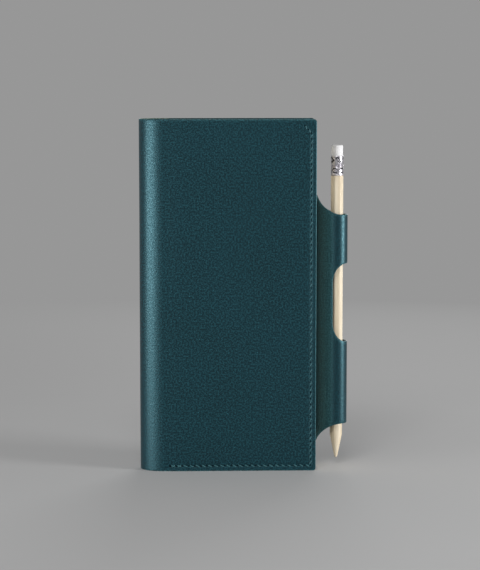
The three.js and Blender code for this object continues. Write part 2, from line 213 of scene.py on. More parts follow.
COVER_LEATHER = 1.4 * MM
SPINE_ROUND = 14.5 * MM
CORNER_ROUND = 1.6 * MM
EDGE_ROUND = 0.45 * MM
EDGE_STEPS = (0.0, 0.1, 0.3, 0.6, 1.0)  # shares of the edge's rounding
RUBBED_WIDTH = 0.6 * MM

front_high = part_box("front_cover")[1]
back_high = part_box("back_cover")[1]
holder_low, holder_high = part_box("pencil_holder")
pocket_low, pocket_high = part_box("front_pocket")
spine_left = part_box("spine_strip_2")[0].x
fore_edge = front_high.x
cover_top = front_high.z
half_depth = back_high.y
flat_start = spine_left + SPINE_ROUND
pocket_side = pocket_low.x

SEAM_INSET = 3.1 * MM
SEAM_START = 0.4 * MM
SEAM_TOP = 8 * MM  # under the cover's top, where the seam turns in to its last hole
SEAM_CORNER = 4.2 * MM
SEAM_DIP = 0.3 * MM
SEAM_DIP_WIDTH = 0.6 * MM
SEAM_HOLLOW = 0.12 * MM
SEAM_HOLLOW_WIDTH = 2.2 * MM
seam_x = fore_edge - SEAM_INSET
seam_turn = cover_top - SEAM_TOP
SEAM = (
    (pocket_side + SEAM_START, SEAM_INSET),
    (seam_x, SEAM_INSET),
    (seam_x, seam_turn),
    (seam_x - SEAM_CORNER, seam_turn + SEAM_CORNER),
)


def distance_to(lines, x, z):
    """Distance from each point to the nearest of some straight lines."""
    nearest = np.full(len(x), np.inf)
    for (x0, z0), (x1, z1) in lines:
        length = max((x1 - x0) ** 2 + (z1 - z0) ** 2, 1e-18)
        share = np.clip(((x - x0) * (x1 - x0) + (z - z0) * (z1 - z0)) / length, 0, 1)
        away = np.hypot(x - x0 - share * (x1 - x0), z - z0 - share * (z1 - z0))
        nearest = np.minimum(nearest, away)
    return nearest


def seam_pull(x, z):
    """How far the stitches pull the leather in: a narrow dip in a shallow hollow."""
    away = distance_to(list(zip(SEAM, SEAM[1:])), x, z)
    dip = SEAM_DIP * np.exp(-((away / SEAM_DIP_WIDTH) ** 2))
    hollow = SEAM_HOLLOW * np.exp(-((away / SEAM_HOLLOW_WIDTH) ** 2))
    return -dip - hollow


def nothing_selected():
    bpy.ops.object.select_all(action="DESELECT")


LEAST_THICKNESS = 0.05  # share of a sheet's thickness that is left at its thinnest
CREASE_ANGLE = math.radians(42)  # sharper edges than this aren't shaded smooth


def cut_sheet(name, line, rows_at, thick, start=0.0, round_over=EDGE_ROUND, joined=None,
              relief=None, gone=None, also=(), share=None, paled=1.0, added=None,
              finishes=LEATHER):
    """A sheet that stands up along a line in plan, with its face to the line's right.

    rows_at gives the heights of the grid's rows at a place across, and start is how far along
    the hide the line begins. Edges are rounded, save where joined says that the sheet
    carries on in another, and also lists edges of that other one. relief is how far the face
    rises, gone picks the faces of a window, and share thins the sheet. Rubbed edges, and any
    painted highlight, are kept as a value for the face's finish, and the flat cut as a UV map."""
    nothing_selected()
    heights = np.array([rows_at(x) for x, _ in line])
    columns, rows = heights.shape
    bpy.ops.mesh.primitive_grid_add(x_subdivisions=columns - 1, y_subdivisions=rows - 1, size=2)
    sheet = bpy.context.object
    sheet.name = sheet.data.name = name
    mesh = sheet.data
    if gone:
        bpy.ops.object.mode_set(mode="EDIT")
        bpy.ops.mesh.select_all(action="DESELECT")
        bpy.ops.object.mode_set(mode="OBJECT")
        for face in mesh.polygons:
            i = (face.center.x + 1) / 2 * (columns - 1)
            j = (face.center.y + 1) / 2 * (rows - 1)
            face.select = gone(int(i), int(j))
        bpy.ops.object.mode_set(mode="EDIT")
        bpy.ops.mesh.delete(type="FACE")
        bpy.ops.object.mode_set(mode="OBJECT")
    plan = np.array(line)
    steps = np.linalg.norm(np.diff(plan, axis=0), axis=1)
    along = start + np.concatenate([[0], np.cumsum(steps)])
    tangent = np.gradient(plan, along, axis=0)
    tangent /= np.linalg.norm(tangent, axis=1)[:, None]
    outward = np.stack([tangent[:, 1], -tangent[:, 0]], axis=1)
    grid = np.array([v.co for v in mesh.vertices])
    i = np.rint((grid[:, 0] + 1) / 2 * (columns - 1)).astype(int)
    j = np.rint((grid[:, 1] + 1) / 2 * (rows - 1)).astype(int)
    a, z = along[i], heights[i, j]

    used = np.zeros(len(mesh.edges), int)
    for loop in mesh.loops:
        used[loop.edge_index] += 1
    rim = [(e.vertices[0], e.vertices[1]) for e, n in zip(mesh.edges, used) if n == 1]
    edges = [((a[p], z[p]), (a[q], z[q])) for p, q in rim]
    if joined:
        edges = [(p, q) for p, q in edges if not joined((p[0] + q[0]) / 2, (p[1] + q[1]) / 2)]
    away = distance_to(edges + list(also), a, z)
    near = np.clip(round_over - away, 0, round_over)
    drop = round_over - np.sqrt(np.maximum(round_over**2 - near**2, 0))
    rise = relief(plan[i, 0], z, a) if relief else 0
    flat = plan[i] + outward[i] * (rise - drop)[:, None]
    mesh.vertices.foreach_set("co", np.column_stack([flat, z]).ravel())

    cut = mesh.uv_layers[0]
    cut.name = "cut"
    corner = np.array([loop.vertex_index for loop in mesh.loops])
    cut.data.foreach_set("uv", np.column_stack([a[corner], z[corner]]).ravel())

    # Rubbed edges are paler, and a painted highlight is laid where the caller asks for one.
    pale = paled * np.clip(1 - away / RUBBED_WIDTH, 0, 1)
    if added:
        pale = np.maximum(pale, added(plan[i, 0], plan[i, 1]))
    wear_and_highlight = mesh.attributes.new("wear_and_highlight", "FLOAT", "POINT")
    wear_and_highlight.data.foreach_set("value", pale)

    weight = (share(plan[i, 0], plan[i, 1]) if share else np.ones(len(a))) - 2 * drop / thick
    skived = sheet.vertex_groups.new(name="skived")
    for number, value in enumerate(weight):
        skived.add([number], float(max(value, LEAST_THICKNESS)), "REPLACE")
    for material in finishes:
        mesh.materials.append(material)
    wall = sheet.modifiers.new("thickness", "SOLIDIFY")
    wall.thickness, wall.offset = thick, -1
    wall.use_even_offset = True
    wall.vertex_group, wall.thickness_vertex_group = "skived", 0
    wall.material_offset, wall.material_offset_rim = 1, 2
    bpy.ops.object.modifier_apply(modifier=wall.name)
    sheet.vertex_groups.clear()
    bpy.ops.object.shade_smooth_by_angle(angle=CREASE_ANGLE)
    return sheet


def spaced(stops, step):
    """Places from the first stop to the last, with even steps of at most that between stops."""
    made = [stops[0]]
    for low, high in zip(stops, stops[1:]):
        count = max(1, math.ceil(abs(high - low) / step - 1e-6))
        made += [low + (high - low) * k / count for k in range(1, count + 1)]
    return made


LOW_ROWS = (1.1, 1.8, 2.3, 2.7, 3.1, 3.5, 3.9, 4.5, 5.5, 7.0)  # close together at the seam
LOW_REACH = 2.7 * MM  # rows this near the bottom or the top make room for a cut corner
HIGH_REACH = 1.8 * MM
ROW_STEP, CORNER_ROW_STEP = 2.6 * MM, 0.5 * MM
edge_steps = [share * EDGE_ROUND for share in EDGE_STEPS]
wing_root_low, wing_root_high = holder_low.z, holder_high.z
cover_rows = (
    edge_steps
    + [height * MM for height in LOW_ROWS]
    + spaced([wing_root_low, wing_root_high, seam_turn - 2 * MM], ROW_STEP)
    + [seam_turn - MM, seam_turn - CORNER_ROW_STEP]
    + spaced([seam_turn, seam_turn + SEAM_CORNER], CORNER_ROW_STEP)
    + [cover_top - down for down in [1.5 * MM, *reversed(edge_steps)]]
)


def cover_heights(x):
    """Heights of the cover's rows at a place, with its two cut corners at the fore edge."""
    into = max(0.0, x - (fore_edge - CORNER_ROUND))
    cut = CORNER_ROUND - math.sqrt(max(CORNER_ROUND**2 - into**2, 0.0))
    low = [cut + z * (LOW_REACH - cut) / LOW_REACH if z < LOW_REACH else z for z in cover_rows]
    return [cover_top - cut - (cover_top - z) * (HIGH_REACH - cut) / HIGH_REACH
            if cover_top - z < HIGH_REACH else z for z in low]


NEAR_SEAM = (-1.2, -0.8, -0.4, 0.0, 0.4, 0.8)  # columns on both sides of the seam
CORNER_TURNS = (0, 18, 34)  # degrees round a cut corner
SEAM_REACH = 7 * MM  # the grid is closer this near the seam
COLUMN_STEP, SEAM_COLUMN_STEP = 2.5 * MM, 0.75 * MM
ROUND_STEP = 2.25  # degrees round the spine


def cover_columns():
    """Places across the flat of a cover, from the spine's round to the fore edge."""
    seam_near = [seam_x + v * MM for v in NEAR_SEAM]
    corner = fore_edge - CORNER_ROUND
    turns = [corner + CORNER_ROUND * math.sin(math.radians(v)) for v in CORNER_TURNS]
    ends = [fore_edge - v for v in reversed(edge_steps)]
    first = spaced([flat_start, pocket_side, seam_x - SEAM_REACH], COLUMN_STEP)
    second = spaced([seam_x - SEAM_REACH, seam_near[0]], SEAM_COLUMN_STEP)[1:]
    return first + second + seam_near[1:] + turns + ends


def turn_point(turn):
    """A point on the outside of the spine's round: 0 is at the front cover and 180 at the back."""
    t = math.radians(turn)
    return flat_start - SPINE_ROUND * math.sin(t), -half_depth * math.cos(t)


def round_line(from_turn, to_turn):
    steps = int(abs(to_turn - from_turn) / ROUND_STEP)
    return [turn_point(from_turn + (to_turn - from_turn) * k / steps) for k in range(steps + 1)]


def line_length(line):
    return sum(math.dist(p, q) for p, q in zip(line, line[1:]))


# The four lengths of leather meet at 135, 90 and 45 degrees round the spine.
flat_places = cover_columns()
back_line = [(x, half_depth) for x in reversed(flat_places)] + round_line(180, 135)[1:]
upper_line, lower_line = round_line(135, 90), round_line(90, 45)
front_line = round_line(45, 0) + [(x, -half_depth) for x in flat_places[1:]]
back_end = line_length(back_line)
upper_end = back_end + line_length(upper_line)
lower_end = upper_end + line_length(lower_line)
front_flat = lower_end + line_length(round_line(45, 0))

SLACK = 0.22 * MM
SLACK_ALONG, SLACK_UP = 22, 14  # swells per metre
SLACK_FADE = 9 * MM  # the slack dies away over this at the fore edge
SETTLE_DEPTH = 0.35 * MM
SETTLE_REACH = 14 * MM
SETTLE_BACK = 3 * MM  # from the start of the flat to the middle of the settled leather


def slack(along, z):
    """Slow rise and fall of soft leather, along the hide and up it."""
    return SLACK * np.array([
        noise.noise(Vector((a * SLACK_ALONG, h * SLACK_UP, 3.7))) for a, h in zip(along, z)
    ])


def settled(past_flat):
    """How far the leather has sunk where the front cover runs into the spine's round."""
    near = np.clip(np.abs(past_flat + SETTLE_BACK) / SETTLE_REACH, 0, 1)
    return SETTLE_DEPTH * (1 + np.cos(math.pi * near)) / 2


def cover_relief(x, z, along):
    """The cover swells and sinks a little, and the stitches pull it in."""
    fade = np.clip((fore_edge - x) / SLACK_FADE, 0, 1)
    soft = slack(along, z) * fade - settled(along - front_flat)
    return soft + np.where(x > flat_start, seam_pull(x, z), 0)


WING_SWEEP = 17 * MM  # the concave curves between the wing and the cover
SAME_PLACE = 0.01 * MM
sweep = [math.radians(v) for v in range(0, 31, 2)]
wing_curves = [
    [(-WING_SWEEP * (1 - math.cos(t)), root + side * WING_SWEEP * math.sin(t)) for t in sweep]
    for root, side in ((wing_root_low, 1), (wing_root_high, -1))
]
beside_back = [pair for curve in wing_curves for pair in zip(curve, curve[1:])]


def in_wing(along, z):
    """Whether an edge of the back cover carries on in the pencil wing."""
    return abs(along) < SAME_PLACE and wing_root_low < z < wing_root_high


def ends_at(*places):
    """A test for edges that carry on in the next length of the cover."""
    return lambda along, z: any(abs(along - p) < SAME_PLACE for p in places)


back_skin = cut_sheet(
    "back_cover_leather", back_line, cover_heights, COVER_LEATHER, relief=cover_relief,
    joined=lambda a, z: in_wing(a, z) or abs(a - back_end) < SAME_PLACE, also=beside_back)
upper_skin = cut_sheet(
    "spine_leather_back", upper_line, cover_heights, COVER_LEATHER, back_end,
    joined=ends_at(back_end, upper_end), relief=cover_relief)
lower_skin = cut_sheet(
    "spine_leather_front", lower_line, cover_heights, COVER_LEATHER, upper_end,
    joined=ends_at(upper_end, lower_end), relief=cover_relief)
front_skin = cut_sheet(
    "front_cover_leather", front_line, cover_heights, COVER_LEATHER, lower_end,
    joined=ends_at(lower_end), relief=cover_relief)

# Each length, the bodies at its two ends, the degrees round the spine between which it bends, and
# the nodes it takes the place of.
FOLDS = (
    (front_skin, "front", "spine_1", 4, 41, ("front_cover",)),
    (lower_skin, "spine_1", "spine_2", 49, 86, ("spine_strip_1", "spine_strip_2")),
    (upper_skin, "spine_2", "spine_3", 94, 131, ("spine_strip_3",)),
    (back_skin, "spine_3", "back", 139, 176, ("back_cover",)),
)
for skin, one, other, from_turn, to_turn, nodes in FOLDS:
    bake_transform(skin)
    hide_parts(*nodes)

# ---------------------------------------------------------------- pockets
# Two 1.0 mm leather pockets line the covers and are sewn along the bottom and the fore edge.
# Their spine sides are open. The back one stands off the cover to take the refill's card.

POCKET_LEATHER = 1.0 * MM
POCKET_EDGE_ROUND = 0.3 * MM
POCKET_RUBBED = 0.15  # how pale its edges are, beside the cover's
POCKET_PULL = 0.7  # how deep its seam is, beside the cover's
CARD_SLOT = 0.7 * MM
SEWN_EDGE = 6 * MM
SEWN_BOTTOM = 8 * MM
SEWN_SLOPE = 3 * MM
FLAP_SLOPE = 2 * MM
back_pocket_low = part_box("back_pocket")[0]
pocket_places = [pocket_side + v for v in edge_steps] + [
    x for x in flat_places if x > pocket_side + MM]
front_pocket_line = [(x, pocket_high.y) for x in reversed(pocket_places)]
back_pocket_line = [(x, back_pocket_low.y) for x in pocket_places]


def sewn_down(x, z):
    """How far the back pocket closes up to the cover along its sewn margins.

    It stays off the cover where the wing's flap lies between them."""
    by_bottom = np.clip((SEWN_BOTTOM - z) / SEWN_SLOPE, 0, 1)
    by_edge = np.clip((x - fore_edge + SEWN_EDGE) / SEWN_SLOPE, 0, 1)
    past_flap = np.clip(np.maximum(wing_root_low - z, z - wing_root_high) / FLAP_SLOPE, 0, 1)
    closed = np.maximum(by_bottom * (1 - by_edge), past_flap * np.maximum(by_edge, by_bottom))
    return -CARD_SLOT * closed


front_pocket = cut_sheet(
    "front_pocket_leather", front_pocket_line, cover_heights, POCKET_LEATHER,
    round_over=POCKET_EDGE_ROUND, paled=POCKET_RUBBED,
    relief=lambda x, z, a: POCKET_PULL * seam_pull(x, z) + settled(x - flat_start))
back_pocket = cut_sheet(
    "back_pocket_leather", back_pocket_line, cover_heights, POCKET_LEATHER,
    round_over=POCKET_EDGE_ROUND, paled=POCKET_RUBBED,
    relief=lambda x, z, a: POCKET_PULL * seam_pull(x, z) + sewn_down(x, z))


def belongs(piece, body, node):
    """The piece moves with that body, and takes that node's place."""
    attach(piece, body)
    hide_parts(node)


belongs(front_pocket, "front", "front_pocket")
belongs(back_pocket, "back", "back_pocket")

# ---------------------------------------------------------------- pencil wing
# The back cover's leather runs on past the fore edge, folds round the pencil and comes back to
# be sewn, skived thin, under the back pocket. A window cut through the fold leaves two loops.

WINDOW_REACH = 9.3 * MM  # from the fold to the window's left edge
WINDOW_ROUND = 11.5 * MM  # how far the window's curves reach up and down
WINDOW_LOW = 76.1 * MM
WINDOW_HIGH = 123.3 * MM
LEAVE_ANGLE = math.radians(-105)  # where the front layer leaves the round fold
LIMB_END = 0.6 * MM  # the front layer meets the pocket this far inside the fore edge
LIMB_STEEP = math.radians(68)  # how steeply it comes down to the pocket
fold_right = holder_high.x
fold_radius = (half_depth - holder_low.y) / 2
fold_y = half_depth - fold_radius
fold_x = fold_right - fold_radius
window_left = fold_right - WINDOW_REACH
sweep_x = fore_edge + WING_SWEEP

# The lines through the two ends of the bowed front layer meet at its corner.
pocket_back = back_pocket_low.y + POCKET_LEATHER
leave_x = fold_x + fold_radius * math.cos(LEAVE_ANGLE)
leave_y = fold_y + fold_radius * math.sin(LEAVE_ANGLE)
limb_end_x = fore_edge - LIMB_END
leave_rise = math.tan(LEAVE_ANGLE + math.pi / 2)
corner_x = (pocket_back - leave_y + limb_end_x * math.tan(LIMB_STEEP) + leave_x * leave_rise) / (
    math.tan(LIMB_STEEP) + leave_rise)
corner_y = leave_y + (corner_x - leave_x) * leave_rise


def limb_y(x):
    """The front layer's outer face, bowed between the round fold and the flap beside the pocket."""
    if x <= limb_end_x:
        return pocket_back
    a = limb_end_x - 2 * corner_x + leave_x
    b = 2 * (corner_x - leave_x)
    t = (-b - math.sqrt(b * b - 4 * a * (leave_x - x))) / (2 * a)
    return (1 - t) ** 2 * leave_y + 2 * t * (1 - t) * corner_y + t * t * pocket_back


LIMB_STEPS = 16  # columns of the grid along the bow, and round the fold
FOLD_STEPS = 44
NEAREST = 0.04 * MM  # columns are at least this far apart
FOLD_MARGIN = 0.03 * MM  # and this far from where the fold starts and ends


def wing_line():
    """The wing in plan, from its flap round the pencil and back to the cover's fore edge."""
    marks = [sweep_x - WING_SWEEP * math.cos(math.radians(v)) for v in range(0, 91, 4)]
    marks += [fold_right - WINDOW_REACH * math.cos(math.radians(v)) for v in range(0, 91, 5)]
    marks += [window_left - v for v in edge_steps]
    bow = {limb_end_x + (leave_x - limb_end_x) * k / LIMB_STEPS for k in range(LIMB_STEPS + 1)}
    on_limb = {m for m in marks if m < leave_x - FOLD_MARGIN}
    on_limb |= {holder_low.x + MM, limb_end_x - 2 * MM}
    on_limb |= {b for b in bow if all(abs(b - m) > NEAREST for m in on_limb)}
    limb = [(x, limb_y(x)) for x in sorted(on_limb)]
    half_turn = math.pi / 2 - LEAVE_ANGLE
    angles = {LEAVE_ANGLE + half_turn * k / FOLD_STEPS for k in range(1, FOLD_STEPS + 1)}
    for m in marks:
        if leave_x + FOLD_MARGIN < m < fold_right:
            angles.add(-math.acos((m - fold_x) / fold_radius))
        if fold_x < m < fold_right:
            angles.add(math.acos((m - fold_x) / fold_radius))
    kept = []
    for angle in sorted(angles):
        if not kept or (angle - kept[-1]) * fold_radius > NEAREST:
            kept.append(angle)
    around = [(fold_x + fold_radius * math.cos(t), fold_y + fold_radius * math.sin(t))
              for t in kept]
    back = sorted({m for m in marks if m < fold_x - FOLD_MARGIN} | {fore_edge}, reverse=True)
    return limb + around + [(x, half_depth) for x in back]


def loop_rows(low, high, count):
    """Rows between two cut edges, close together at each edge."""
    inner_low, inner_high = low + EDGE_ROUND, high - EDGE_ROUND
    between = [inner_low + (inner_high - inner_low) * k / count for k in range(1, count)]
    return [low + v for v in edge_steps] + between + [high - v for v in reversed(edge_steps)]


LOWER_LOOP, WINDOW, UPPER_LOOP = 26, 14, 22  # rows of the grid in each
wing = wing_line()
window_row = len(loop_rows(0, 1, LOWER_LOOP)) - 1


def wing_heights(x):
    """Heights of the wing's rows: a lower loop, a band beside the window, and an upper loop."""
    into = WING_SWEEP**2 - min(max(sweep_x - x, 0.0), WING_SWEEP) ** 2
    rise = math.sqrt(max(into, 0.0)) if x > fore_edge else 0.0
    low, high = wing_root_low + rise, wing_root_high - rise
    past = (fold_right - x) / WINDOW_REACH
    cut = math.sqrt(max(1 - past**2, 0.0)) if x > window_left else 0.0
    window_low = WINDOW_LOW + WINDOW_ROUND * (1 - cut)
    window_high = WINDOW_HIGH - WINDOW_ROUND * (1 - cut)
    beside = [window_low + (window_high - window_low) * k / WINDOW for k in range(1, WINDOW)]
    return (loop_rows(low, window_low, LOWER_LOOP) + beside
            + loop_rows(window_high, high, UPPER_LOOP))


def in_window(i, j):
    """Whether a face of the wing's grid is cut out for the window."""
    middle = (wing[i][0] + wing[i + 1][0]) / 2
    return middle > window_left and window_row <= j < window_row + WINDOW


FLAP_SHARE = 0.5  # of the leather's thickness
FLAP_INSIDE = 0.4 * MM  # the flap starts to swell this far inside the fore edge
FLAP_SWELL = 1.6 * MM
# Where the painted highlight on the bowed front layer rises and fades.
PALE_START, PALE_RISE = 2.4 * MM, 6.5 * MM  # past the fore edge
PALE_END, PALE_FALL = 2.2 * MM, 2.5 * MM  # ahead of the fold's middle


def skived_share(x, y):
    """The flap is skived thin, and the front layer swells to the full leather past it."""
    swell = np.clip((x - fore_edge + FLAP_INSIDE) / FLAP_SWELL, 0, 1)
    front_share = FLAP_SHARE + (1 - FLAP_SHARE) * swell
    return np.where(y > half_depth - 0.1 * MM, 1.0, front_share)


def painted_limb_highlight(x, y):
    """Painted highlight: the front layer is paler where it is bowed, ahead of the fold."""
    rise = np.clip((x - fore_edge - PALE_START) / PALE_RISE, 0, 1)
    fall = np.clip((fold_x - PALE_END - x) / PALE_FALL, 0, 1)
    return np.where(y < fold_y, rise * np.sqrt(fall), 0)


PAST_WING = 5 * MM
cover_side = [((0.0, low), (0.0, high)) for low, high in (
    (-PAST_WING, wing_root_low), (wing_root_high, cover_top + PAST_WING))]
# The wing's bowed front layer carries a painted highlight.
wing_skin = cut_sheet(
    "pencil_wing_leather", wing, wing_heights, COVER_LEATHER, -line_length(wing), joined=in_wing,
    gone=in_window, also=cover_side, share=skived_share, added=painted_limb_highlight)
belongs(wing_skin, "back", "pencil_holder")

# ---------------------------------------------------------------- saddle stitching
# Waxed thread in a slanting hand stitch joins each cover to its pocket, through round awl holes.
# Every stitch is its own short, plump length of thread that dips into a hole at each end. The
# holes' dark mouths are painted shade.

STITCH_PITCH = 3.7 * MM
STITCH_LENGTH = 2.9 * MM
THREAD_WIDTH = 0.66 * MM
STITCH_SLANT = math.radians(30)
STITCH_BOW = 0.18  # how far the middle of a stitch stands out, in thread widths
STITCH_FULLNESS = 0.6  # under 1, the ends of a stitch are blunter than a ball's
LONGEST_STITCH = 1.05  # times the usual length
BACK_STITCHES = 2  # sewn twice where the seam starts
STRAY_ANGLE = 4  # degrees
SINK = (0.02, 0.10)  # how deep a stitch lies in the leather, in mm
PLUMPNESS = (0.92, 1.08)  # times the usual width
HOLE_LENGTH = 1.9 * MM
HOLE_WIDTH = 1.05 * MM
HOLE_DEPTH = 0.16 * MM
HOLE_LEAN = 1.6  # an awl hole leans this many times as much as its stitch
THREAD_DARK, THREAD_PALE = (0.010, 0.060, 0.075, 1), (0.050, 0.160, 0.180, 1)
# Painted shade for the mouths of the awl holes.
HOLE_SHADE_DARK, HOLE_SHADE_PALE = (0.0008, 0.004, 0.006, 1), (0.003, 0.014, 0.018, 1)

thread, tree, shader = finish("waxed_teal_thread", 0.55, 0.4)
place = put(tree, "ShaderNodeTexCoord").outputs["UV"]
twist = put(tree, "ShaderNodeTexWave", {"bands_direction": "DIAGONAL"}, Vector=place, Scale=3.0,
            Distortion=1.2).outputs["Fac"]
wire(tree, shader, Base_Color=tint(tree, twist, THREAD_DARK, THREAD_PALE))
raised(tree, shader, twist, 0.08 * MM, 0.7)

# The dark mouths of the awl holes are painted shade.
awl_hole_shade, tree, shader = finish("awl_hole_shade", 0.9, 0.05)
fibres = speckle(tree, by_place(tree), 2500.0)
wire(tree, shader, Base_Color=tint(tree, fibres, HOLE_SHADE_DARK, HOLE_SHADE_PALE))


def seam_places():
    """The awl holes along the seam, with the seam's direction at each."""
    holes = []
    for (x0, z0), (x1, z1) in zip(SEAM, SEAM[1:]):
        count = max(1, round(math.dist((x0, z0), (x1, z1)) / STITCH_PITCH))
        turn = math.atan2(z1 - z0, x1 - x0)
        holes += [(x0 + (x1 - x0) * k / count, z0 + (z1 - z0) * k / count, turn)
                  for k in range(count)]
    return holes + [(*SEAM[-1], holes[-1][2])]


def one_stitch():
    """A plump, round-ended length of thread, drawn out of a ball."""
    nothing_selected()
    bpy.ops.mesh.primitive_uv_sphere_add(segments=10, ring_count=8, radius=0.5)
    made = bpy.context.object
    for vertex in made.data.vertices:
        x, y, z = vertex.co
        full = math.copysign(abs(2 * z) ** STITCH_FULLNESS, z) / 2
        bow = STITCH_BOW * (1 - (2 * z) ** 2)
        vertex.co = (full * STITCH_LENGTH, (y - bow) * THREAD_WIDTH, x * THREAD_WIDTH)
    made.data.materials.append(thread)
    return made


def one_hole_shade():
    """Painted shade for the mouth of an awl hole, as a dark flattened ball."""
    nothing_selected()
    bpy.ops.mesh.primitive_uv_sphere_add(segments=12, ring_count=6, radius=0.5)
    made = bpy.context.object
    for vertex in made.data.vertices:
        x, y, z = vertex.co
        vertex.co = (x * HOLE_LENGTH, z * HOLE_DEPTH, y * HOLE_WIDTH)
    made.data.materials.append(awl_hole_shade)
    return made


def all_in_one(pieces, name):
    """Several meshes joined as one piece."""
    nothing_selected()
    for piece in pieces:
        piece.select_set(True)
    bpy.context.view_layer.objects.active = pieces[0]
    bpy.ops.object.join()
    whole = bpy.context.object
    whole.name = whole.data.name = name
    return whole


def stitch_row(name, face_at, side, body, node=None):
    """Stitches and holes along the seam, on a face that looks along side times Y."""
    holes = seam_places()
    stitch, hole_shade = one_stitch(), one_hole_shade()
    lean = side * STITCH_SLANT
    flip = Matrix.Rotation(0 if side < 0 else math.pi, 4, "X")
    copies = []
    for number, (x, z, turn) in enumerate(holes):
        leant = Matrix.Rotation(-turn - HOLE_LEAN * lean, 4, "Y")
        copies.append((hole_shade, Matrix.Translation((x, face_at(x, z), z)) @ leant))
        if number + 1 < len(holes):
            next_x, next_z, _ = holes[number + 1]
            middle_x, middle_z = (x + next_x) / 2, (z + next_z) / 2
            along = math.atan2(next_z - z, next_x - x)
            length = math.dist((x, z), (next_x, next_z)) / STITCH_PITCH
            wobble = math.radians(chance.uniform(-STRAY_ANGLE, STRAY_ANGLE))
            sunk = face_at(middle_x, middle_z) - side * chance.uniform(*SINK) * MM
            size = Matrix.Diagonal((min(length, LONGEST_STITCH), 1, chance.uniform(*PLUMPNESS), 1))
            middle = Matrix.Translation((middle_x, sunk, middle_z))
            for slant in (lean, -lean) if number < BACK_STITCHES else (lean,):
                turned_about = Matrix.Rotation(-along - slant + wobble, 4, "Y")
                copies.append((stitch, middle @ turned_about @ flip @ size))
    made = []
    for model, where in copies:
        copy = bpy.data.objects.new(name, model.data.copy())
        bpy.context.scene.collection.objects.link(copy)
        copy.data.transform(where)
        made.append(copy)
    for model in (stitch, hole_shade):
        bpy.data.objects.remove(model)
    row = all_in_one(made, name)
    bpy.ops.object.shade_smooth()
    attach(row, body)
    if node:
        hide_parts(node)


def pulled(x, z, share=1.0):
    """How far the seam has pulled in the leather at one point."""
    return share * float(seam_pull(np.array([x]), np.array([z]))[0])


def on_front_cover(x, z):
    return -half_depth - pulled(x, z)


def on_back_cover(x, z):
    return half_depth + pulled(x, z)


def on_front_pocket(x, z):
    return pocket_high.y + pulled(x, z, POCKET_PULL)


def on_back_pocket(x, z):
    down = float(sewn_down(np.array([x]), np.array([z]))[0])
    return back_pocket_low.y - pulled(x, z, POCKET_PULL) - down


stitch_row("front_stitches", on_front_cover, -1, "front", "front_seam_thread")
stitch_row("back_stitches", on_back_cover, 1, "back", "back_seam_thread")
stitch_row("front_pocket_stitches", on_front_pocket, 1, "front")
stitch_row("back_pocket_stitches", on_back_pocket, -1, "back")

# ---------------------------------------------------------------- paper refill
# Eight sewn sections, each of nested sheets folded once, make a block whose folds face the spine.
# Three single leaves lie between its halves. The paper is uncoated, ivory and slightly fibrous.

IVORY_TONED, IVORY = (0.74, 0.69, 0.58, 1), (0.82, 0.78, 0.68, 1)
PULP = (0.62, 0.57, 0.46, 1)
paper, tree, shader = finish("ivory_paper", 0.9, 0.2)
place = by_place(tree)
pulp = speckle(tree, place, 900.0, 5.0)
toning = speckle(tree, place, 22.0, 3.0)
plain = tint(tree, spread(tree, toning, 0.3, 0.7), IVORY_TONED, IVORY)
wire(tree, shader, Base_Color=tint(tree, spread(tree, pulp, 0.35, 0.7, 0.0, 0.5), plain, PULP))
raised(tree, shader, pulp, 0.05 * MM, 0.5)

SHEETS = 5
section_low, section_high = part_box("paper_section_1")
section_middle = (section_low.z + section_high.z) / 2
sheet_pitch = (section_high.y - section_low.y) / (2 * SHEETS)
SHEET_THICK = sheet_pitch * 0.88  # the rest is air between the sheets
SHEET_EDGE_ROUND = 0.02 * MM
LEAF_EDGE_ROUND = 0.04 * MM
EDGE_STRAY = 0.12 * MM  # how far sheets lie out of line at the fore edge and at the top
TOP_STRAY = 0.06 * MM
FOLD_STEP = 18  # degrees


def paper_heights(_):
    return spaced([section_low.z, section_high.z], 30 * MM)


def nested_sheets(name, low, high, body, node):
    """Folded sheets laid one inside the next."""
    middle = (low.y + high.y) / 2
    sheets = []
    for k in range(SHEETS):
        half = (high.y - low.y) / 2 - k * sheet_pitch
        edge = high.x + chance.uniform(-EDGE_STRAY, 0.0)
        fold = low.x + (high.y - low.y) / 2
        far = [(x, middle + half) for x in spaced([edge, fold], 12 * MM)]
        bend = [(fold - half * math.sin(t), middle + half * math.cos(t))
                for t in (math.radians(v) for v in range(FOLD_STEP, 180, FOLD_STEP))]
        near = [(x, middle - half) for x in spaced([fold, edge], 12 * MM)]
        short = chance.uniform(-TOP_STRAY, 0.0)

        def trimmed(x):
            return [z + (short if z > section_middle else -short) for z in paper_heights(x)]

        sheets.append(cut_sheet(f"{name}_{k}", far + bend + near, trimmed, SHEET_THICK,
                                round_over=SHEET_EDGE_ROUND, finishes=(paper,)))
    belongs(all_in_one(sheets, name), body, node)


for number in range(1, 9):
    node = f"paper_section_{number}"
    body = "front_pages" if number < 5 else "back"
    nested_sheets(f"folded_section_{number}", *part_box(node), body, node)

for number in range(1, 4):
    node = f"turning_leaf_{number}"
    low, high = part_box(node)
    leaf_line = [(x, low.y) for x in spaced([low.x, high.x], 6 * MM)]
    leaf = cut_sheet(f"loose_leaf_{number}", leaf_line, paper_heights, high.y - low.y,
                     round_over=LEAF_EDGE_ROUND, finishes=(paper,))
    belongs(leaf, f"leaf_{number}", node)

# ---------------------------------------------------------------- refill covers and linings
# Brown kraft card covers the refill, and its back card slides into the back pocket on a cloth
# strip. Woven lining cloth is glued over the folds of each half.

